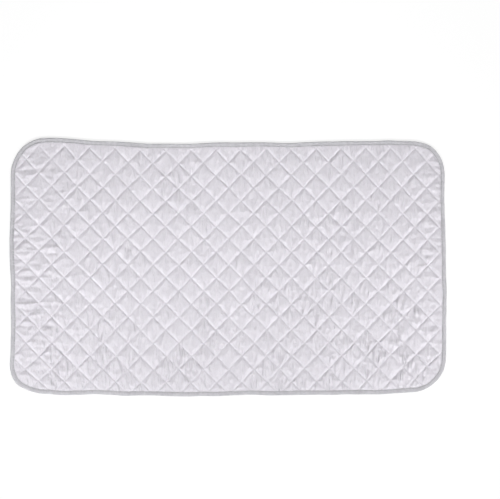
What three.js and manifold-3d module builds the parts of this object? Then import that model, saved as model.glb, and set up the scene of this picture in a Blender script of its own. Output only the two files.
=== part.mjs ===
// Quilted ironing pad: a coated top cloth, a wadding core and a backing cloth, stitched together in
// diamonds and bound round the edge with a folded tape. It lies flat, ready for use.
// Millimetres, +Z up. The origin is the middle of the face that the pad lies on, X runs along its length.
import * as THREE from "three";
import { mergeVertices } from "three/addons/utils/BufferGeometryUtils.js";
import Module from "manifold-3d";

const wasm = await Module();
wasm.setup();

// Driving dimensions

const padLength = 850;
const padWidth = 480;
const cornerRadius = 65;

const coverThickness = 0.4; // coated top cloth
const backingThickness = 0.35; // plain cloth underneath
const hemWadding = 0.3; // wadding squeezed flat where the binding grips it
const puffHeight = 2.6; // rise of each diamond's middle above its stitched edges
const layerGap = 0.1; // between pieces that lie on each other

const quiltPitch = 49; // corner to corner of a diamond, along X and along Y
const quiltShiftX = -3.7; // a corner of the quilting, measured from the middle of the pad
const quiltShiftY = 6.2;

const tapeThickness = 0.5;
const bindingWidth = 8.5; // what shows of the tape on each face
const hemSlope = 6; // the backing climbs onto the tape's lower limb over this width
const seamMargin = 1.6; // from the tape's inner edge to the seam that holds it

const threadDiameter = 0.4;

const cornerSteps = 8; // flats round each corner
const cutSteps = 3; // flats round each corner of the cover's cut edge, which the tape hides
const foldSteps = 6; // flats round the tape's fold
const threadSides = 4;

// Levels, from the floor up. In the hem the layers lie between the tape's two limbs, and the stitch lines
// hold the cover down at the same level as the hem.

const tapeBottom = threadDiameter + layerGap;
const lowerLimbTop = tapeBottom + tapeThickness;
const hemBackingBottom = lowerLimbTop + layerGap;
const hemBackingTop = hemBackingBottom + backingThickness;
const hemWaddingBottom = hemBackingTop + layerGap;
const waddingTop = hemWaddingBottom + hemWadding;
const coverBottom = waddingTop + layerGap;
const coverTop = coverBottom + coverThickness;
const upperLimbBottom = coverTop + layerGap;
const tapeTop = upperLimbBottom + tapeThickness;
const waddingBottom = backingThickness + layerGap; // away from the hem, where the backing lies on the floor

// Distances in from the pad's outline

const foldRadius = (tapeTop - tapeBottom) / 2;
const cutInset = foldRadius + layerGap; // the layers' cut edge, inside the fold
const hemInset = bindingWidth + layerGap; // just clear of the tape's inner edge
const fieldInset = hemInset + hemSlope;
const seamInset = bindingWidth - seamMargin;

// Outlines

const cornerReachX = padLength / 2 - cornerRadius;
const cornerReachY = padWidth / 2 - cornerRadius;

// The pad's rounded rectangle, drawn in by inset, anticlockwise from the right-hand side.
function outlineLoop(inset, steps) {
  const signs = [[1, 1], [-1, 1], [-1, -1], [1, -1]];
  const radius = cornerRadius - inset;
  const points = [];
  signs.forEach(([signX, signY], quarter) => {
    for (let step = 0; step <= steps; step++) {
      const angle = ((quarter + step / steps) * Math.PI) / 2;
      const x = signX * cornerReachX + radius * Math.cos(angle);
      const y = signY * cornerReachY + radius * Math.sin(angle);
      points.push(new THREE.Vector2(x, y));
    }
  });
  return points;
}

function insideOutline(point, inset) {
  const beyondX = Math.max(Math.abs(point.x) - cornerReachX, 0);
  const beyondY = Math.max(Math.abs(point.y) - cornerReachY, 0);
  return Math.hypot(beyondX, beyondY) <= cornerRadius - inset;
}

// The quilting's lattice. Stitch lines run where u or v is a whole number.

const latticeReach = Math.ceil((padLength + padWidth) / 2 / quiltPitch) + 1;

function latticePoint(u, v) {
  return new THREE.Vector2(
    quiltShiftX + (quiltPitch * (u + v)) / 2,
    quiltShiftY + (quiltPitch * (u - v)) / 2,
  );
}

// A diamond that lies wholly inside the binding is free to puff up.
function wholeDiamond(u, v) {
  const corners = [
    latticePoint(u, v),
    latticePoint(u + 1, v),
    latticePoint(u + 1, v + 1),
    latticePoint(u, v + 1),
  ];
  return corners.every((corner) => insideOutline(corner, hemInset));
}

// Solids from faces

function geometryOf(positions, triangles) {
  const geometry = new THREE.BufferGeometry();
  geometry.setAttribute("position", new THREE.Float32BufferAttribute(positions, 3));
  geometry.setIndex(triangles);
  return geometry;
}

// Sweeps a section round the pad. Each section point is [inset, z], listed from the underside outwards and
// back over the top. A closed section makes a hoop. An open one is capped by a face at each end.
function sweepOutline(section, closed, steps = cornerSteps) {
  const positions = [];
  const triangles = [];
  for (const [inset, z] of section) {
    for (const point of outlineLoop(inset, steps)) positions.push(point.x, point.y, z);
  }
  const around = positions.length / 3 / section.length;
  const last = section.length - 1;
  for (let row = 0; row < (closed ? section.length : last); row++) {
    const lower = row * around;
    const upper = ((row + 1) % section.length) * around;
    for (let step = 0; step < around; step++) {
      const next = (step + 1) % around;
      triangles.push(lower + step, lower + next, upper + next);
      triangles.push(lower + step, upper + next, upper + step);
    }
  }
  if (!closed) {
    const underMiddle = positions.length / 3;
    const topMiddle = underMiddle + 1;
    positions.push(0, 0, section[0][1], 0, 0, section[last][1]);
    for (let step = 0; step < around; step++) {
      const next = (step + 1) % around;
      triangles.push(underMiddle, next, step);
      triangles.push(topMiddle, last * around + step, last * around + next);
    }
  }
  return geometryOf(positions, triangles);
}

// A slab of quilted yardage, larger than the pad. Whole diamonds rise to a point above their stitched
// edges, and those that the binding crosses are held flat.
function quiltedYardage(bottom, bottomPuff, top, topPuff) {
  const positions = [];
  const triangles = [];
  const columns = 2 * latticeReach + 1;
  const addFace = (level, puff) => {
    const first = positions.length / 3;
    for (let u = -latticeReach; u <= latticeReach; u++) {
      for (let v = -latticeReach; v <= latticeReach; v++) {
        const corner = latticePoint(u, v);
        positions.push(corner.x, corner.y, level);
      }
    }
    const middles = positions.length / 3;
    for (let u = -latticeReach; u < latticeReach; u++) {
      for (let v = -latticeReach; v < latticeReach; v++) {
        const middle = latticePoint(u + 0.5, v + 0.5);
        positions.push(middle.x, middle.y, wholeDiamond(u, v) ? level + puff : level);
      }
    }
    return { first, middles };
  };
  const under = addFace(bottom, bottomPuff);
  const over = addFace(top, topPuff);
  for (let row = 0; row < columns - 1; row++) {
    for (let column = 0; column < columns - 1; column++) {
      const corner = row * columns + column;
      const ring = [corner, corner + 1, corner + columns + 1, corner + columns];
      const middle = row * (columns - 1) + column;
      ring.forEach((from, side) => {
        const to = ring[(side + 1) % ring.length];
        triangles.push(over.middles + middle, over.first + from, over.first + to);
        triangles.push(under.middles + middle, under.first + to, under.first + from);
      });
    }
  }
  const wall = (from, to) => {
    triangles.push(under.first + from, under.first + to, over.first + to);
    triangles.push(under.first + from, over.first + to, over.first + from);
  };
  const farRow = (columns - 1) * columns;
  for (let step = 0; step < columns - 1; step++) {
    wall(step, step + 1);
    wall(step * columns + columns - 1, (step + 1) * columns + columns - 1);
    wall(farRow + step + 1, farRow + step);
    wall((step + 1) * columns, step * columns);
  }
  return geometryOf(positions, triangles);
}

// Boolean cuts

function solidOf(geometry) {
  const bare = mergeVertices(geometry);
  return new wasm.Manifold(
    new wasm.Mesh({
      numProp: 3,
      vertProperties: new Float32Array(bare.attributes.position.array),
      triVerts: new Uint32Array(bare.index.array),
    }),
  );
}

// What two solids share, with the lattice's spare corners cleaned off its flat parts.
function commonTo(first, second) {
  const mesh = solidOf(first).intersect(solidOf(second)).asOriginal().simplify().getMesh();
  return geometryOf(mesh.vertProperties, [...mesh.triVerts]);
}

// Pieces

const finishes = {
  coatedCloth: { color: 0xdedce2, roughness: 0.45, metalness: 0.1 },
  wadding: { color: 0xf2f2ef, roughness: 0.95, metalness: 0 },
  backingCloth: { color: 0xd9d9dc, roughness: 0.85, metalness: 0 },
  tape: { color: 0xbdbdc2, roughness: 0.7, metalness: 0 },
  thread: { color: 0xd2d1d7, roughness: 0.6, metalness: 0 },
};

const pad = new THREE.Group();

function addPiece(name, geometry, finish) {
  const piece = new THREE.Mesh(geometry, new THREE.MeshStandardMaterial(finishes[finish]));
  piece.name = name;
  pad.add(piece);
}

// The backing lies on the floor and climbs onto the tape's lower limb at its hem.
addPiece(
  "backing",
  sweepOutline(
    [
      [fieldInset, 0],
      [hemInset, hemBackingBottom],
      [cutInset, hemBackingBottom],
      [cutInset, hemBackingTop],
      [hemInset, hemBackingTop],
      [fieldInset, backingThickness],
    ],
    false,
  ),
  "backingCloth",
);

// The wadding fills the space between the two cloths. It is pinched along the stitch lines.
const headroom = coverTop + puffHeight;
const waddingBlank = sweepOutline(
  [
    [fieldInset, waddingBottom],
    [hemInset, hemWaddingBottom],
    [cutInset, hemWaddingBottom],
    [cutInset, headroom],
  ],
  false,
);
addPiece(
  "batting",
  commonTo(waddingBlank, quiltedYardage(-layerGap, 0, waddingTop, puffHeight)),
  "wadding",
);

// The cover is quilted yardage, cut to the pad's shape.
const coverBlank = sweepOutline([[cutInset, 0], [cutInset, headroom + layerGap]], false, cutSteps);
addPiece(
  "top_cover",
  commonTo(coverBlank, quiltedYardage(coverBottom, puffHeight, coverTop, puffHeight)),
  "coatedCloth",
);

// The binding is one tape, folded over the layers' cut edge and joined end to end into a hoop.
function foldArc(radius, outwards) {
  const middleZ = (tapeTop + tapeBottom) / 2;
  const points = [];
  for (let step = 0; step <= foldSteps; step++) {
    const angle = ((outwards ? step : foldSteps - step) * Math.PI) / foldSteps;
    points.push([foldRadius - radius * Math.sin(angle), middleZ - radius * Math.cos(angle)]);
  }
  return points;
}
addPiece(
  "edge_binding",
  sweepOutline(
    [
      [bindingWidth, tapeBottom],
      ...foldArc(foldRadius, true),
      [bindingWidth, tapeTop],
      [bindingWidth, upperLimbBottom],
      ...foldArc(foldRadius - tapeThickness, false),
      [bindingWidth, lowerLimbTop],
    ],
    true,
  ),
  "tape",
);

// The binding's seam has a needle thread on the face and a bobbin thread underneath.
const threadRadius = threadDiameter / 2;

function seamThread(middleZ) {
  const section = [];
  for (let side = 0; side < threadSides; side++) {
    const angle = (side / threadSides) * 2 * Math.PI;
    section.push([seamInset - threadRadius * Math.sin(angle), middleZ - threadRadius * Math.cos(angle)]);
  }
  return sweepOutline(section, true);
}
addPiece("binding_needle_thread", seamThread(tapeTop + layerGap + threadRadius), "thread");
addPiece("binding_bobbin_thread", seamThread(threadRadius), "thread");

// The quilting's needle threads. Each zigzags down the length of the pad in a strip half a diamond wide,
// and meets its neighbours at the diamonds' corners. It ends short of the binding.
const mitre = Math.SQRT2; // a thread turns through a right angle at each corner
const cornerPull = mitre * threadRadius + layerGap / 2; // keeps it clear of the thread in the next strip
const threadInset = hemInset + mitre * threadRadius;
const halfPitch = quiltPitch / 2;

function threadCorner(strip, column) {
  const low = (strip + column) % 2 === 0;
  const y = quiltShiftY + halfPitch * (low ? strip : strip + 1);
  return new THREE.Vector2(quiltShiftX + halfPitch * column, low ? y + cornerPull : y - cornerPull);
}

// The last point inside the binding on the way from an inner corner to an outer one.
function lastInside(inner, outer) {
  let near = 0;
  let far = 1;
  for (let halving = 0; halving < 30; halving++) {
    const share = (near + far) / 2;
    if (insideOutline(inner.clone().lerp(outer, share), threadInset)) near = share;
    else far = share;
  }
  return inner.clone().lerp(outer, near);
}

function threadRoute(strip) {
  let first = 0;
  let last = 0;
  const inside = (column) => insideOutline(threadCorner(strip, column), threadInset);
  while (inside(first - 1)) first -= 1;
  while (inside(last + 1)) last += 1;
  const route = [lastInside(threadCorner(strip, first), threadCorner(strip, first - 1))];
  for (let column = first; column <= last; column++) route.push(threadCorner(strip, column));
  route.push(lastInside(threadCorner(strip, last), threadCorner(strip, last + 1)));
  return route;
}

function quiltThread(route, middleZ) {
  const positions = [];
  const triangles = [];
  for (const point of route) {
    for (let side = 0; side < threadSides; side++) {
      const angle = (side / threadSides) * 2 * Math.PI;
      const y = point.y + mitre * threadRadius * Math.sin(angle);
      positions.push(point.x, y, middleZ - threadRadius * Math.cos(angle));
    }
  }
  const lastRing = (route.length - 1) * threadSides;
  for (let ring = 0; ring < lastRing; ring += threadSides) {
    for (let side = 0; side < threadSides; side++) {
      const next = (side + 1) % threadSides;
      triangles.push(ring + side, ring + next, ring + threadSides + next);
      triangles.push(ring + side, ring + threadSides + next, ring + threadSides + side);
    }
  }
  for (let side = 1; side < threadSides - 1; side++) {
    triangles.push(0, side + 1, side);
    triangles.push(lastRing, lastRing + side, lastRing + side + 1);
  }
  return geometryOf(positions, triangles);
}

const firstStrip = Math.ceil((hemInset - padWidth / 2 - quiltShiftY) / halfPitch);
const endStrip = Math.floor((padWidth / 2 - hemInset - quiltShiftY) / halfPitch);
for (let strip = firstStrip; strip < endStrip; strip++) {
  const number = String(strip - firstStrip + 1).padStart(2, "0");
  const height = coverTop + layerGap + threadRadius;
  addPiece(`quilt_thread_${number}`, quiltThread(threadRoute(strip), height), "thread");
}

export default pad;
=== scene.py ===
import math

import bpy
import numpy as np
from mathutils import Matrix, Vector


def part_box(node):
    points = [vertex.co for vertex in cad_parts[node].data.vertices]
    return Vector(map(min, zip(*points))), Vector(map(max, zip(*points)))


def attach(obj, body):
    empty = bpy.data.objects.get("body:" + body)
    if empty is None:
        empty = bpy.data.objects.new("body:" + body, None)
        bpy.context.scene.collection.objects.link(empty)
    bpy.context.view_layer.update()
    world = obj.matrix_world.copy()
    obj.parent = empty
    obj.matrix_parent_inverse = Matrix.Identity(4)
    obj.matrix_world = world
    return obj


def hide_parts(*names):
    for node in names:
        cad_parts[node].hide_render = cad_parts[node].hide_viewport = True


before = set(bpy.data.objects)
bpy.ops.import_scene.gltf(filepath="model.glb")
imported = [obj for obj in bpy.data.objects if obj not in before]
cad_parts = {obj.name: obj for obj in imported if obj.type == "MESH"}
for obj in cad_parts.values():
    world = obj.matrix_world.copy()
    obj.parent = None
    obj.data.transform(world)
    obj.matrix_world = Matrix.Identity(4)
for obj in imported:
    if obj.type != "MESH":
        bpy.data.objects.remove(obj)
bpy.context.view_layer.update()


# Backing
# A plain white woven cloth, the face that lies on the table. It is quilted together with the other
# layers, so it bulges a little between the stitch lines, and its hem climbs onto the tape at the edge.

# Sizes of the pad are in millimetres from its middle, and MM turns them into metres.
MM = 0.001
tape_low, tape_high = (np.array(corner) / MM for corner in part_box("edge_binding"))
pad_length, pad_width = (tape_high - tape_low)[:2]
corner_radius = 65.0
quilt_pitch = 49.0
quilt_crossing = (-3.7, 6.2)
diamond_side = quilt_pitch / math.sqrt(2)
seam_crowding = 0.42
cut_inset = 1.4
tape_width = 8.5
backing_thickness = 0.35
backing_seam_level = 0.75
backing_seam_reach = 5.0
backing_rumple = 0.05
backing_hem_level = 1.1
backing_hem_width = 6.0
backing_steps = 6


def inset_of(x, y):
    """How far a point lies in from the pad's outline."""
    past_x = np.abs(x) - (pad_length / 2 - corner_radius)
    past_y = np.abs(y) - (pad_width / 2 - corner_radius)
    round_corner = np.hypot(np.maximum(past_x, 0), np.maximum(past_y, 0))
    return corner_radius - round_corner - np.minimum(np.maximum(past_x, past_y), 0)


def quilt_lines(x, y):
    """A point's place across the two sets of quilting lines. Each line is at a whole number."""
    a = (x - quilt_crossing[0]) / quilt_pitch
    b = (y - quilt_crossing[1]) / quilt_pitch
    return a + b, a - b


def seam_gap(x, y):
    """How far a point lies from the nearest line of quilting."""
    gaps = [np.abs(line - np.round(line)) for line in quilt_lines(x, y)]
    return diamond_side * np.minimum(*gaps)


def ripple(x, y, across, along, seed):
    """An uneven rolling field about 1 high, in waves `across` mm long in x and `along` mm in y."""
    dice = np.random.default_rng(seed)
    waves = 16
    field = np.zeros_like(x)
    for _ in range(waves):
        turn_x = dice.uniform(0.5, 1.5) * 2 * math.pi / across
        turn_y = dice.uniform(-1.5, 1.5) * 2 * math.pi / along
        field += np.sin(turn_x * x + turn_y * y + dice.uniform(0, 2 * math.pi))
    return field / math.sqrt(waves / 2)


def ease(value, start, end):
    """Rises smoothly from 0 at start to 1 at end."""
    share = np.clip((value - start) / (end - start), 0, 1)
    return share * share * (3 - 2 * share)


def quilted_cloth(steps):
    """A flat cloth in squares that run with the quilting, `steps` to a diamond, closer at its seams."""
    share = np.arange(steps) / steps
    crowded = share - seam_crowding * np.sin(2 * math.pi * share) / (2 * math.pi)
    reach = math.ceil((pad_length + pad_width) / 2 / quilt_pitch) + 1
    lines = (np.arange(-reach, reach)[:, None] + crowded).ravel()
    one_way, other_way = np.meshgrid(lines, lines, indexing="ij")
    x = quilt_crossing[0] + quilt_pitch * (one_way + other_way) / 2
    y = quilt_crossing[1] + quilt_pitch * (one_way - other_way) / 2
    number = np.arange(x.size).reshape(x.shape)
    squares = np.stack([number[:-1, :-1], number[:-1, 1:], number[1:, 1:], number[1:, :-1]], -1)
    inside = inset_of(x, y) > cut_inset
    whole = inside[:-1, :-1] & inside[:-1, 1:] & inside[1:, 1:] & inside[1:, :-1]
    used, squares = np.unique(squares[whole], return_inverse=True)
    squares = squares.reshape(-1, 4)
    x, y = x.ravel()[used], y.ravel()[used]
    rim = np.bincount(squares.ravel()) < 4
    step = 0.01
    inset = inset_of(x, y)
    out_x = (inset - inset_of(x + step, y)) / step
    out_y = (inset - inset_of(x, y + step)) / step
    x = np.where(rim, x + out_x * (inset - cut_inset), x)
    y = np.where(rim, y + out_y * (inset - cut_inset), y)
    return x, y, squares


# Where handling has pushed the pad's edge in or out: place, push and reach.
tugs = (
    ((-350, 240), (0, 3.5), 60),
    ((-125, 240), (0, -6), 120),
    ((100, 240), (0, -2.5), 60),
    ((300, 240), (0, 3), 110),
    ((405, 220), (2, 2), 35),
    ((424, 160), (-4, 0), 90),
    ((385, -224), (-3, 6), 62),
    ((-90, -240), (0, -2), 160),
    ((-275, -240), (0, 3), 45),
    ((-335, -240), (0, -1.5), 30),
    ((-372, -236), (1, 3.5), 35),
    ((-415, -212), (-5, -2), 40),
    ((-425, 30), (-2, 0), 60),
)
drift = 0.5
drift_waves = (130, 110)

# The far edge has sprung up beside its tape: inset where it bends, the step up, and the curl beyond.
bend_inset = 13.0
bend_width = 5.0
bend_rise = 1.4
curl = 0.003
far_side_start, far_side_end = 130, 220


def lie_of_pad(x, y):
    """Where a point comes to lie, and how far it is lifted, because no sewn pad stays quite true."""
    moved_x = x + drift * ripple(x, y, *drift_waves, seed=11)
    moved_y = y + drift * ripple(x, y, *drift_waves, seed=12)
    for (at_x, at_y), (push_x, push_y), reach in tugs:
        pull = np.exp(-((x - at_x) ** 2 + (y - at_y) ** 2) / reach**2)
        moved_x = moved_x + push_x * pull
        moved_y = moved_y + push_y * pull
    past_bend = np.maximum(bend_inset - inset_of(x, y), 0)
    lift = bend_rise * ease(past_bend, 0, bend_width) + curl * past_bend**2
    return moved_x, moved_y, lift * ease(y, far_side_start, far_side_end)


def make_piece(name, points, faces, material, marks=None):
    """A mesh piece from points in millimetres. marks are values kept at each point for its material."""
    x, y, lift = lie_of_pad(points[:, 0], points[:, 1])
    laid = np.stack([x, y, points[:, 2] + lift], 1) * MM
    mesh = bpy.data.meshes.new(name)
    mesh.from_pydata(laid.tolist(), [], faces.tolist())
    mesh.shade_smooth()
    for mark, values in (marks or {}).items():
        kept = mesh.attributes.new(mark, "FLOAT", "POINT")
        kept.data.foreach_set("value", values.astype(np.float32))
    mesh.materials.append(material)
    piece = bpy.data.objects.new(name, mesh)
    bpy.context.scene.collection.objects.link(piece)
    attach(piece, "root")
    return piece


def add_node(tree, kind, settings=None, output=0, **sockets):
    """A shader node's output. Settings go on the node, and a value or a link in each named socket."""
    made = tree.nodes.new("ShaderNode" + kind)
    for name, value in (settings or {}).items():
        setattr(made, name, value)
    for name, value in sockets.items():
        socket = made.inputs[int(name[1:]) if name[0] == "_" else name.replace("_", " ")]
        if isinstance(value, bpy.types.NodeSocket):
            tree.links.new(value, socket)
        else:
            socket.default_value = value
    return made.outputs[output]


def combine(tree, operation, first, second):
    """Two values added, multiplied and so on."""
    return add_node(tree, "Math", {"operation": operation}, _0=first, _1=second)


def kept_mark(tree, mark):
    """A value that the mesh keeps at each point."""
    return add_node(tree, "Attribute", {"attribute_name": mark}, output="Fac")


def place_on_piece(tree):
    """The place on the piece in metres."""
    return tree.nodes.new("ShaderNodeTexCoord").outputs["Object"]


def new_finish(name, roughness, sheen):
    """A material, its node tree and its shader."""
    material = bpy.data.materials.new(name)
    material.use_nodes = True
    shader = material.node_tree.nodes["Principled BSDF"]
    shader.inputs["Roughness"].default_value = roughness
    shader.inputs["Sheen Weight"].default_value = sheen
    return material, material.node_tree, shader


def woven(tree, place, thread_pitch):
    """Height of a plain weave: two sets of threads, each over the other by turns."""
    wave_rate = 20
    bands = {"Scale": 2 * math.pi / thread_pitch / wave_rate, "Distortion": 0.4, "Detail_Scale": 0.02}
    warp_way = {"wave_type": "BANDS", "bands_direction": "X"}
    weft_way = {"wave_type": "BANDS", "bands_direction": "Y"}
    warp = add_node(tree, "TexWave", warp_way, Vector=place, **bands)
    weft = add_node(tree, "TexWave", weft_way, Vector=place, **bands)
    return combine(tree, "ADD", warp, weft)


def stretched_noise(tree, place, size_x, size_y, detail=2.0):
    """Noise whose blotches are about size_x by size_y metres."""
    scaled = add_node(tree, "Mapping", Vector=place, Scale=(1 / size_x, 1 / size_y, 1 / size_x))
    return add_node(tree, "TexNoise", Vector=scaled, Scale=1.0, Detail=detail)


def colour_by(tree, shader, level, dark, light, start=0.3, end=0.7):
    """Colours the piece from dark to light as level rises from start to end."""
    ramp = tree.nodes.new("ShaderNodeValToRGB")
    ramp.color_ramp.elements[0].position = start
    ramp.color_ramp.elements[0].color = (*dark, 1)
    ramp.color_ramp.elements[1].position = end
    ramp.color_ramp.elements[1].color = (*light, 1)
    tree.links.new(level, ramp.inputs["Fac"])
    tree.links.new(ramp.outputs["Color"], shader.inputs["Base Color"])


def raise_nap(tree, shader, height, depth, below=None):
    """Bump of that depth in metres, laid over an earlier one."""
    sockets = {"Height": height, "Distance": depth, "Strength": 1.0}
    if below:
        sockets["Normal"] = below
    bump = add_node(tree, "Bump", **sockets)
    tree.links.new(bump, shader.inputs["Normal"])
    return bump


backing_finish, tree, shader = new_finish("plain_white_cloth", roughness=0.85, sheen=0.1)
place = place_on_piece(tree)
mottle = stretched_noise(tree, place, 0.05, 0.05, detail=4.0)
colour_by(tree, shader, mottle, (0.74, 0.74, 0.73), (0.82, 0.82, 0.81))
weave = raise_nap(tree, shader, woven(tree, place, 0.0008), 0.00015)
raise_nap(tree, shader, stretched_noise(tree, place, 0.012, 0.012), 0.0004, weave)

x, y, squares = quilted_cloth(backing_steps)
bulge = 1 - np.exp(-seam_gap(x, y) / backing_seam_reach)
z = backing_seam_level * (1 - bulge) + backing_rumple * np.abs(ripple(x, y, 23, 23, 21)) * bulge
hem = 1 - ease(inset_of(x, y), tape_width, tape_width + backing_hem_width)
z += (backing_hem_level - z) * hem
backing = make_piece("backing_cloth", np.stack([x, y, z], 1), squares, backing_finish)
thickness = backing.modifiers.new("Thickness", "SOLIDIFY")
thickness.thickness = backing_thickness * MM
thickness.offset = 1
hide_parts("backing")


# Wadding
# One sheet of soft white fibre between the two cloths. It is thick in the middle of each diamond and
# pressed thin along every line of stitching and inside the tape.
wadding_seam_level = 1.75
wadding_seam_reach = 6.0
wadding_rise = 1.7
wadding_edge_width = 14.0
wadding_play = 0.08


def wadding_top(x, y):
    """Height of the wadding under the cover."""
    clear = ease(inset_of(x, y), tape_width, tape_width + wadding_edge_width)
    swell = 1 - np.exp(-seam_gap(x, y) / wadding_seam_reach)
    return wadding_seam_level + wadding_rise * clear * swell


wadding_finish, tree, shader = new_finish("white_fibre", roughness=0.95, sheen=0.3)
place = place_on_piece(tree)
across_pad = stretched_noise(tree, place, 0.0006, 0.006)
along_pad = stretched_noise(tree, place, 0.006, 0.0006)
fibres = combine(tree, "MAXIMUM", across_pad, along_pad)
colour_by(tree, shader, fibres, (0.80, 0.80, 0.79), (0.90, 0.90, 0.89))
raise_nap(tree, shader, fibres, 0.0006)

top_points = np.stack([x, y, wadding_top(x, y)], 1)
under_points = np.stack([x, y, z + backing_thickness + wadding_play], 1)
count = len(x)
edges = np.stack([squares, np.roll(squares, -1, 1)], -1).reshape(-1, 2)
kind, uses = np.unique(np.sort(edges, axis=1), axis=0, return_inverse=True, return_counts=True)[1:]
rim = edges[uses[kind.ravel()] == 1]
sides = np.stack([rim[:, 1], rim[:, 0], rim[:, 0] + count, rim[:, 1] + count], 1)
points = np.concatenate([top_points, under_points])
faces = np.concatenate([squares, squares[:, ::-1] + count, sides])
wadding = make_piece("wadding", points, faces, wadding_finish)
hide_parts("batting")


# Top cover
# Cotton cloth with a silver-white heat-reflecting coat, the face that is ironed on. The wadding pushes it
# up between the stitch lines, and because the seams draw it in, it crinkles, mostly along the pad's width.
cover_seam_level = 2.35
cover_seam_reach = 3.0
cover_rise = 2.75
cover_swell = 1.4
cover_play = 0.45
cover_pinned_inset = tape_width - 3.0
cover_tuck = 0.35
cover_tuck_start, cover_tuck_end = tape_width - 2.0, tape_width + 0.5
cover_steps = 16
crease_rise = 1.3
dimple_rise = 0.4
creases_per_diamond = 6

# Cloth before it is blown up, and how much larger it is cut than it is sewn.
slack_rise = 1.6
slack_rumple = 0.1
draw_in_x = 1.09
draw_in_y = 1.03

# Room for the cover's swelling beside the tape: at its edge, just past it, further in, and anywhere.
edge_room = 0.1
edge_swell = 1.9
edge_reach = 1.1
edge_slope = 0.07
most_room = 4.2

# How deep the creases are in each part of the pad, and how far their direction turns there.
middle_depth = 0.36
left_end_depth = 0.55
right_end_depth = 0.15
near_side_depth = 0.6
left_corner_depth = 1.1
right_corner_depth = 0.7
far_side_relief = 0.7
end_turn = 1.5
corner_turn = 0.8


def blow_up(x, y, z, squares, held):
    """Cloth cut larger than it is sewn, held along its seams and pushed up by what is under it."""
    scale = 10 * MM
    moments = 8
    mesh = bpy.data.meshes.new("cloth")
    mesh.from_pydata((np.stack([x, y, z], 1) * scale).tolist(), [], squares.tolist())
    cloth = bpy.data.objects.new("cloth", mesh)
    scene = bpy.context.scene
    scene.collection.objects.link(cloth)
    cloth.shape_key_add(name="as_sewn", from_mix=False)
    as_cut = cloth.shape_key_add(name="as_cut", from_mix=False)
    flat = np.stack([x * draw_in_x, y * draw_in_y, 0 * z], 1) * scale
    as_cut.data.foreach_set("co", flat.ravel())
    as_cut.value = 0
    pins = cloth.vertex_groups.new(name="held")
    pins.add(np.flatnonzero(held).tolist(), 1.0, "REPLACE")
    modifier = cloth.modifiers.new("Cloth", "CLOTH")
    modifier.collision_settings.use_collision = False
    settings = modifier.settings
    settings.quality = 5
    settings.mass = 0.15
    settings.tension_stiffness = 30
    settings.compression_stiffness = 30
    settings.shear_stiffness = 10
    settings.bending_stiffness = 0.02
    settings.bending_damping = 0.5
    settings.vertex_group_mass = "held"
    settings.rest_shape_key = as_cut
    settings.use_pressure = True
    settings.uniform_pressure_force = 4
    settings.effector_weights.gravity = 0
    for moment in range(1, moments + 1):
        scene.frame_set(moment)
    settled = cloth.evaluated_get(bpy.context.evaluated_depsgraph_get()).to_mesh()
    places = np.empty(3 * len(x), np.float32)
    settled.vertices.foreach_get("co", places)
    scene.frame_set(1)
    bpy.data.objects.remove(cloth)
    return places.reshape(-1, 3)[:, 2].astype(float) / scale


def fade(distance, reach):
    """1 at a place, fading away from it over its reach."""
    return np.exp(-((distance / reach) ** 2))


def draws(x, y):
    """How strongly the pad's left end, right end and two near corners draw in the cloth."""
    from_left = x + pad_length / 2
    from_right = x - pad_length / 2
    from_near = y + pad_width / 2
    left_end = fade(from_left, 110)
    right_end = fade(from_right, 60)
    left_corner = fade(np.hypot(from_left, from_near), 130)
    right_corner = fade(np.hypot(from_right, from_near), 170)
    return left_end, right_end, left_corner, right_corner


def crease_depths(x, y):
    """How deep the cloth creases at a place. It is calmest in the middle and along the far side."""
    left_end, right_end, left_corner, right_corner = draws(x, y)
    near_side = fade(y + pad_width / 2, 150)
    far_side = fade(y - pad_width / 2, 110)
    depth = middle_depth + left_end_depth * left_end * (1 - far_side_relief * far_side)
    depth = depth + right_end_depth * right_end + near_side_depth * near_side
    return depth + left_corner_depth * left_corner + right_corner_depth * right_corner


def crease_turns(x, y):
    """Which way creases run: across the pad, but lengthwise at its ends and slanting in near corners."""
    left_end, right_end, left_corner, right_corner = draws(x, y)
    ends = (left_end + right_end) * (1 - left_corner - right_corner)
    return end_turn * ends + corner_turn * (right_corner - left_corner)


def lengthwise_share(x, y):
    """The share of the finest creases that run lengthwise."""
    left_end, right_end, left_corner, right_corner = draws(x, y)
    return (left_end + right_end) * (1 - 0.5 * (left_corner + right_corner))


def crinkles(x, y, gap):
    """Height of the creases, how full each diamond is, and how deep its finest creases are."""
    one_way, other_way = (np.floor(line) for line in quilt_lines(x, y))
    middle_x = quilt_crossing[0] + quilt_pitch * (one_way + other_way + 1) / 2
    middle_y = quilt_crossing[1] + quilt_pitch * (one_way - other_way) / 2
    depth = crease_depths(middle_x, middle_y)
    turn = crease_turns(middle_x, middle_y)
    row = 64
    diamond = ((one_way + row / 2) * row + other_way + row / 2).astype(int)
    dice = np.random.default_rng(5)

    def each(low, high):
        return dice.uniform(low, high, row * row)[diamond]

    height = np.zeros_like(x)
    rumpled = each(0.3, 1.4)
    for _ in range(creases_per_diamond):
        lean = turn + each(-0.35, 0.35)
        off_x = x - middle_x - each(-16, 16)
        off_y = y - middle_y - each(-14, 14)
        width = each(2.2, 4.2)
        length = each(9, 20)
        rise = each(-0.9, 1.3)
        across = off_x * np.cos(lean) - off_y * np.sin(lean)
        along = off_x * np.sin(lean) + off_y * np.cos(lean)
        height += rise / (1 + (across / width) ** 2) * fade(along, length)
    dimples = np.abs(ripple(x, y, 12, 15, 33)) - 0.8
    height += dimple_rise * dimples
    fullness = 1 + each(-0.18, 0.18)
    clear = 1 - np.exp(-gap / cover_seam_reach)
    return depth * rumpled * clear * height, fullness, np.sqrt(depth) * rumpled * clear


def kept_under(value, limit):
    """The value, turned over smoothly as it comes to the limit."""
    return value / (1 + (value / limit) ** 4) ** 0.25


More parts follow.
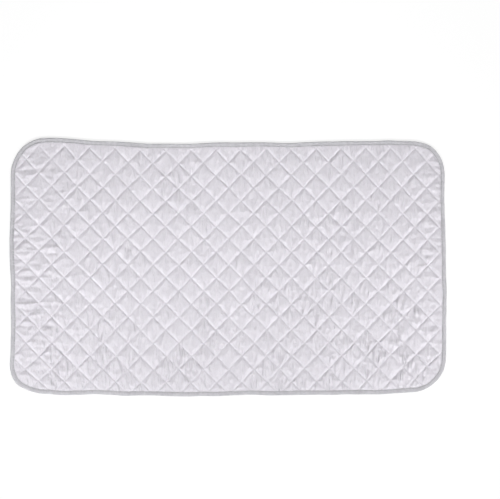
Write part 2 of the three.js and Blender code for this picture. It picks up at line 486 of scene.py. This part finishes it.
def kept_over(value, floor):
    """The value, rounded off smoothly where it would go through the floor."""
    sharpness = 8
    return floor + np.logaddexp(0, sharpness * (value - floor)) / sharpness


coated_finish, tree, shader = new_finish("silver_coated_cloth", roughness=0.46, sheen=0.1)
shader.inputs["Metallic"].default_value = 0.13
shader.inputs["Specular IOR Level"].default_value = 0.15
place = place_on_piece(tree)
crosswise_streaks = stretched_noise(tree, place, 0.0065, 0.023, detail=0.5)
lengthwise_streaks = stretched_noise(tree, place, 0.032, 0.0105, detail=0.3)
lengthwise = kept_mark(tree, "lengthwise")
streaks = add_node(tree, "Mix", Factor=lengthwise, A=crosswise_streaks, B=lengthwise_streaks)
fine_creases = combine(tree, "SUBTRACT", streaks, 0.5)
fine_creases = combine(tree, "MULTIPLY", fine_creases, kept_mark(tree, "crease_depth"))
colour_by(tree, shader, streaks, (0.725, 0.70, 0.75), (0.765, 0.74, 0.79))
weave = raise_nap(tree, shader, woven(tree, place, 0.0005), 0.00004)
creased = raise_nap(tree, shader, fine_creases, 0.0065, weave)
raise_nap(tree, shader, stretched_noise(tree, place, 0.007, 0.011), 0.0024, creased)

x, y, squares = quilted_cloth(cover_steps)
gap = seam_gap(x, y)
inset = inset_of(x, y)
on_seam = gap < 0.01
held = on_seam | (inset < cover_pinned_inset)
puff = slack_rise * (1 - np.exp(-gap / cover_seam_reach))
puff += slack_rumple * ripple(x, y, 7, 40, 31) * np.minimum(gap / cover_seam_reach, 1)
puff[held] = 0
puff = blow_up(x, y, puff, squares, held)
creases, fullness, fine_depth = crinkles(x, y, gap)
puff = cover_rise * np.tanh(fullness * puff / cover_swell) + crease_rise * creases
past_tape = np.maximum(inset - tape_width, 0)
room = edge_room + edge_swell * (1 - np.exp(-past_tape / edge_reach)) + edge_slope * past_tape
puff = kept_under(np.maximum(puff, 0), np.minimum(room, most_room))
swollen = kept_over(cover_seam_level + puff, wadding_top(x, y) + cover_play)
z = np.where(held, cover_seam_level, swollen)
z -= cover_tuck * (1 - ease(inset, cover_tuck_start, cover_tuck_end))
marks = {"crease_depth": fine_depth, "lengthwise": lengthwise_share(x, y)}
cover = make_piece("top_cover_cloth", np.stack([x, y, z], 1), squares, coated_finish, marks)
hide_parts("top_cover")


# Quilting threads
# Fine spun thread from the many needles that quilt the three layers at once. Each needle sews a zigzag
# along the pad, and neighbours meet at the diamonds' corners. The bobbin threads lock them underneath.
thread_radius = 0.2
thread_sides = 5
thread_twist = 0.9
quilt_stitch = 3.15
stitch_points = 4
corner_pull = 0.333
shown_inset = tape_width - 1.0
first_strip = -9

# Heights of the threads between their stitch holes, and in them.
needle_levels = (cover_seam_level + 0.2, cover_seam_level - 0.25)
bobbin_levels = (backing_seam_level - 0.15, backing_seam_level + 0.2)


def twisted_thread(name, dark, light):
    """A finish of spun plies, with painted shade darkening the grooves between them."""
    finish, tree, shader = new_finish(name, roughness=0.6, sheen=0.2)
    ply_relief_and_shade = add_node(tree, "Math", {"operation": "SINE"}, _0=kept_mark(tree, "twist"))
    # Painted shade: the colour goes dark in the grooves between the plies, where shade would fall.
    colour_by(tree, shader, ply_relief_and_shade, dark, light, start=0.0, end=1.0)
    raise_nap(tree, shader, ply_relief_and_shade, 0.00004)
    return finish


def stitch_heights(count, above, below):
    """Heights along that many points: over the cloth between the stitch holes, and down into each."""
    height = np.sqrt(np.abs(np.sin(np.arange(count) * math.pi / stitch_points)))
    return below + (above - below) * height


def sewn_path(corners, above, below):
    """Points along a row of quilting stitches through these corners, and the length along it."""
    corners = np.array(corners, float)
    legs = np.hypot(*np.diff(corners, axis=0).T)
    reached = np.concatenate([[0], np.cumsum(legs)])
    stitches = max(1, round(reached[-1] / quilt_stitch))
    along = np.linspace(0, reached[-1], stitches * stitch_points + 1)
    x = np.interp(along, reached, corners[:, 0])
    y = np.interp(along, reached, corners[:, 1])
    return np.stack([x, y, stitch_heights(len(along), above, below)], 1), along


def thread_tube(path, along, radius, closed=False):
    """A round thread along a path, with its twist."""
    ahead = np.roll(path, -1, 0) - np.roll(path, 1, 0)
    if not closed:
        ahead[0] = path[1] - path[0]
        ahead[-1] = path[-1] - path[-2]
    ahead /= np.linalg.norm(ahead, axis=1, keepdims=True)
    side = np.cross((0, 0, 1), ahead)
    side /= np.linalg.norm(side, axis=1, keepdims=True)
    top = np.cross(ahead, side)
    turn = 2 * math.pi * np.arange(thread_sides) / thread_sides
    round_it = side[:, None] * np.cos(turn)[:, None] + top[:, None] * np.sin(turn)[:, None]
    points = (path[:, None] + radius * round_it).reshape(-1, 3)
    twist = (2 * math.pi * along[:, None] / thread_twist + turn).ravel()
    number = np.arange(len(points)).reshape(-1, thread_sides)
    if closed:
        number = np.concatenate([number, number[:1]])
    next_over = np.roll(number, -1, 1)
    faces = np.stack([number[:-1], next_over[:-1], next_over[1:], number[1:]], -1).reshape(-1, 4)
    return points, faces, twist


def sew(name, runs):
    """One quilting thread from its runs, each a path and the length along it."""
    points, faces, twists, count = [], [], [], 0
    for path, along in runs:
        ring, skin, twist = thread_tube(path, along, thread_radius)
        points.append(ring)
        faces.append(skin + count)
        twists.append(twist)
        count += len(ring)
    marks = {"twist": np.concatenate(twists)}
    row = make_piece(name, np.concatenate(points), np.concatenate(faces), quilting_finish, marks)
    return row


def zigzag_runs(strip, above, below):
    """The stretches of one needle's zigzag that show inside the tape."""
    reach = 12
    samples = 40
    shortest_run = 4
    columns = np.arange(-reach, reach + 1)
    low_corner = (strip + columns) % 2 == 0
    x = quilt_crossing[0] + quilt_pitch / 2 * columns
    y = quilt_crossing[1] + quilt_pitch / 2 * np.where(low_corner, strip, strip + 1)
    y = y + np.where(low_corner, corner_pull, -corner_pull)
    fine = np.linspace(-reach, reach, 2 * reach * samples + 1)
    shown = inset_of(np.interp(fine, columns, x), np.interp(fine, columns, y)) > shown_inset
    changes = np.flatnonzero(np.diff(np.concatenate([[0], shown.astype(int), [0]])))
    runs = []
    for first, end in changes.reshape(-1, 2):
        if end - first > shortest_run:
            turns = (columns > fine[first]) & (columns < fine[end - 1])
            bends = np.concatenate([[fine[first]], columns[turns], [fine[end - 1]]])
            corners = np.stack([np.interp(bends, columns, x), np.interp(bends, columns, y)], 1)
            runs.append(sewn_path(corners, above, below))
    return runs


# Painted shade: the spun thread is coloured darker than the cover, partly its own grey and partly painted
# shade that darkens the quilting lines.
quilting_finish = twisted_thread("spun_thread", (0.52, 0.515, 0.54), (0.66, 0.65, 0.68))
quilt_rows = [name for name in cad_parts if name.startswith("quilt_thread_")]
for number in range(len(quilt_rows) + 2):
    strip = first_strip + number - 1
    needle_runs = zigzag_runs(strip, *needle_levels)
    if needle_runs:
        row = sew(f"quilting_row_{number:02d}", needle_runs)
        node = f"quilt_thread_{number:02d}"
        if node in quilt_rows:
            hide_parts(node)
    bobbin_runs = zigzag_runs(strip, *bobbin_levels)
    if bobbin_runs:
        sew(f"quilting_bobbin_{number:02d}", bobbin_runs)


# Edge binding
# A grey woven tape with cross ribs, folded over the cut edge of all three layers. It is sewn through near
# its inner edges, so it puckers between the stitches and its edge wanders a little along the pad.
tape_thickness = 0.5
tape_top = 2.95
tape_bottom = 0.5
tape_rib = 1.4
tape_wander = 0.12
tape_pucker = 0.1
seam_margin = 1.6
seam_line = tape_width - seam_margin
binding_stitch = 5.2
stations_per_stitch = 4
fold_radius = (tape_top - tape_bottom) / 2
fold_middle = (tape_top + tape_bottom) / 2
fold_points = 7

# One limb of the tape from its inner edge to the fold: inset, swelling between stitches, dip at a stitch.
limb = np.array([tape_width, tape_width - 0.5, seam_line + 0.5, seam_line, seam_line - 0.7, 4.6, 3.4, 2.2])
swell = np.array([0.15, 0.2, 0.05, 0.0, 0.08, 0.25, 0.25, 0.1])
dip = np.array([0.1, 0.2, 0.5, 0.7, 0.5, 0.1, 0.0, 0.0])


def outline_point(along):
    """Places on the outline and the way out from them, by the length from the left edge's middle."""
    half_x = pad_length / 2 - corner_radius
    half_y = pad_width / 2 - corner_radius
    arc = math.pi / 2 * corner_radius
    lengths = np.array([half_y, arc, 2 * half_x, arc, 2 * half_y, arc, 2 * half_x, arc, half_y])
    starts = np.concatenate([[0], np.cumsum(lengths)])
    part = np.clip(np.searchsorted(starts, along, side="right") - 1, 0, len(lengths) - 1)
    into = along - starts[part]
    turned = np.where(part % 2 == 1, into / corner_radius, 0)
    angle = math.pi - math.pi / 2 * (part // 2) - turned
    out = np.stack([np.cos(angle), np.sin(angle)], 1)
    corner_x = np.where(np.isin(part, (0, 1, 7, 8)), -half_x, half_x)
    corner_y = np.where(np.isin(part, (0, 1, 2, 3)), half_y, -half_y)
    x = corner_x + corner_radius * out[:, 0]
    y = corner_y + corner_radius * out[:, 1]
    x = np.select([part == 2, part == 6], [-half_x + into, half_x - into], x)
    y = np.select([part == 0, part == 4, part == 8], [into, half_y - into, -half_y + into], y)
    return np.stack([x, y], 1), out


def wander(along):
    """How far the tape's edge and its seam stray from an even inset."""
    return tape_wander * ripple(along, 0 * along, 60, 60, 41)


def tape_skin(step_in, pucker):
    """Section of one side of the tape at every station: inset from the outline, and height."""
    turns = np.linspace(math.pi / 2, -math.pi / 2, fold_points)
    fold = fold_radius - step_in
    fold_inset = fold_radius - fold * np.cos(turns)
    fold_height = fold_middle + fold * np.sin(turns)
    insets = np.concatenate([limb, fold_inset, limb[::-1]])
    top = tape_top - step_in + swell * pucker - dip * (1 - pucker)
    bottom = tape_bottom + step_in - 0.5 * swell[::-1] * pucker + dip[::-1] * (1 - pucker)
    heights = np.concatenate([top, np.tile(fold_height, (len(pucker), 1)), bottom], 1)
    return np.tile(insets, (len(pucker), 1)), heights


tape_finish, tree, shader = new_finish("grey_ribbed_tape", roughness=0.75, sheen=0.2)
place = place_on_piece(tree)
rib = combine(tree, "MULTIPLY", kept_mark(tree, "along"), 2 * math.pi / tape_rib)
rib = add_node(tree, "Math", {"operation": "SINE"}, _0=rib)
wear = stretched_noise(tree, place, 0.006, 0.006, detail=3.0)
colour_by(tree, shader, wear, (0.60, 0.59, 0.625), (0.70, 0.69, 0.725))
ribs = raise_nap(tree, shader, rib, 0.0001)
raise_nap(tree, shader, woven(tree, place, 0.0005), 0.00005, ribs)

outline_length = 2 * (pad_length + pad_width) - (8 - 2 * math.pi) * corner_radius
stitch_count = round(outline_length / binding_stitch)
stations = stitch_count * stations_per_stitch
along = outline_length * np.arange(stations) / stations
edge, out = outline_point(along)
pucker = np.abs(np.sin(np.arange(stations) * math.pi / stations_per_stitch))[:, None]
outer_inset, outer_height = tape_skin(0.0, pucker)
inner_inset, inner_height = tape_skin(tape_thickness, pucker)
section_inset = np.concatenate([outer_inset, inner_inset[:, ::-1]], 1)
section_height = np.concatenate([outer_height, inner_height[:, ::-1]], 1)
section_inset = section_inset - (wander(along)[:, None] + tape_pucker * pucker)
points = edge[:, None] - section_inset[:, :, None] * out[:, None]
points = np.concatenate([points, section_height[:, :, None]], 2).reshape(-1, 3)
number = np.arange(len(points)).reshape(stations, -1)
ahead = np.roll(number, -1, 0)
faces = np.stack([number, np.roll(number, -1, 1), np.roll(ahead, -1, 1), ahead], -1).reshape(-1, 4)
marks = {"along": np.repeat(along, section_inset.shape[1])}
tape = make_piece("edge_tape", points, faces, tape_finish, marks)
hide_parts("edge_binding")


# Binding threads
# One lockstitched seam all the way round, through both limbs of the tape and the layers between them. Its
# needle thread lies on the face and its bobbin thread underneath. Both are a stout grey thread, painted
# dark grey partly as its own colour and partly as painted shade of the stitch dimples.
seam_thread_radius = 0.28
seam_stands_out = 0.15
seam_goes_in = 0.5
# Painted shade: the thread's dark grey also stands in for the shade in the stitch dimples along the tape's
# inner edge.
seam_finish = twisted_thread("grey_thread", (0.33, 0.325, 0.34), (0.45, 0.445, 0.46))


def seam_round(name, above, below, node):
    """The seam's thread on one face."""
    steps = stitch_count * stitch_points
    along = outline_length * np.arange(steps) / steps
    edge, out = outline_point(along)
    inset = seam_line - wander(along)
    height = stitch_heights(steps, above, below)
    path = np.concatenate([edge - inset[:, None] * out, height[:, None]], 1)
    points, faces, twist = thread_tube(path, along, seam_thread_radius, closed=True)
    seam = make_piece(name, points, faces, seam_finish, {"twist": twist})
    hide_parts(node)


needle_top = tape_top + seam_stands_out
bobbin_bottom = tape_bottom - seam_stands_out
seam_round("binding_needle_seam", needle_top, tape_top - seam_goes_in, "binding_needle_thread")
seam_round("binding_bobbin_seam", bobbin_bottom, tape_bottom + seam_goes_in, "binding_bobbin_thread")


# Studio
# A pale table under the pad, two soft lamps from the lower left and lower right, one from the far side
# and one from high up, and a camera far off, a little to the left of straight above.
table_reach = 3.0
glow_start, glow_end = 0.55, 0.9


def seen_directly(tree):
    """1 for what the camera sees, straight or in a reflection."""
    path = tree.nodes.new("ShaderNodeLightPath").outputs
    seen = combine(tree, "MAXIMUM", path["Is Camera Ray"], path["Is Glossy Ray"])
    return combine(tree, "MAXIMUM", seen, path["Is Transmission Ray"])


def soft_lamp(name, place, aim, size, power, spread):
    """A square soft lamp with a grid that keeps its light within the spread."""
    light = bpy.data.lights.new(name, "AREA")
    light.size = size
    light.energy = power
    light.spread = math.radians(spread)
    lamp = bpy.data.objects.new(name, light)
    lamp.location = place
    away = np.array(place) - np.array(aim)
    away /= np.linalg.norm(away)
    lamp.rotation_euler = (math.acos(away[2]), 0, math.atan2(away[1], away[0]) + math.pi / 2)
    bpy.context.scene.collection.objects.link(lamp)


table_finish = bpy.data.materials.new("pale_table")
table_finish.use_nodes = True
tree = table_finish.node_tree
tree.nodes.clear()
table = add_node(tree, "BsdfDiffuse", Color=(0.5, 0.5, 0.5, 1))
faint = add_node(tree, "BsdfDiffuse", Color=(0.27, 0.27, 0.27, 1))
glow = add_node(tree, "Emission", Color=(1, 1, 1, 1), Strength=0.8)
white = add_node(tree, "Emission", Color=(1, 1, 1, 1), Strength=1.0)
near_pad = add_node(tree, "AddShader", _0=faint, _1=glow)
from_pad = add_node(tree, "VectorMath", {"operation": "LENGTH"}, output="Value", _0=place_on_piece(tree))
beyond = add_node(tree, "MapRange", Value=from_pad, From_Min=glow_start, From_Max=glow_end)
lit_table = add_node(tree, "MixShader", Fac=beyond, _1=near_pad, _2=white)
shown = add_node(tree, "MixShader", Fac=seen_directly(tree), _1=table, _2=lit_table)
tree.links.new(shown, tree.nodes.new("ShaderNodeOutputMaterial").inputs["Surface"])

corners = [(-1, -1), (1, -1), (1, 1), (-1, 1)]
mesh = bpy.data.meshes.new("floor")
mesh.from_pydata([(table_reach * x, table_reach * y, 0) for x, y in corners], [], [(0, 1, 2, 3)])
mesh.materials.append(table_finish)
floor = bpy.data.objects.new("floor", mesh)
bpy.context.scene.collection.objects.link(floor)

world = bpy.data.worlds.new("studio")
bpy.context.scene.world = world
world.use_nodes = True
tree = world.node_tree
tree.nodes.clear()
fill = add_node(tree, "Background", Color=(0.97, 0.98, 1.0, 1), Strength=0.09)
white = add_node(tree, "Background", Color=(1, 1, 1, 1), Strength=1.0)
shown = add_node(tree, "MixShader", Fac=seen_directly(tree), _1=fill, _2=white)
tree.links.new(shown, tree.nodes.new("ShaderNodeOutputWorld").inputs["Surface"])

middle = (0, 0, 0)
soft_lamp("lamp_lower_left", (-0.95, -0.9, 1.1), (-0.15, 0.2, 0), size=0.5, power=3.6, spread=80)
soft_lamp("lamp_lower_right", (1.25, -0.85, 1.05), (0.15, 0.2, 0), size=0.5, power=3.65, spread=80)
soft_lamp("lamp_far_side", (0.0, 1.0, 1.2), middle, size=0.8, power=4.4, spread=180)
soft_lamp("lamp_overhead", (1.3, -1.3, 3.0), middle, size=0.6, power=9.4, spread=180)

camera_data = bpy.data.cameras.new("camera")
camera_data.sensor_width = 36
camera_data.lens = 432
camera_data.clip_end = 200
camera = bpy.data.objects.new("camera", camera_data)
camera.location = (-2.780, -0.2458, 11.007)
camera.rotation_euler = (0.0254, -0.2506, -0.0027)
bpy.context.scene.collection.objects.link(camera)
bpy.context.scene.camera = camera
bpy.context.scene.view_settings.view_transform = "Standard"
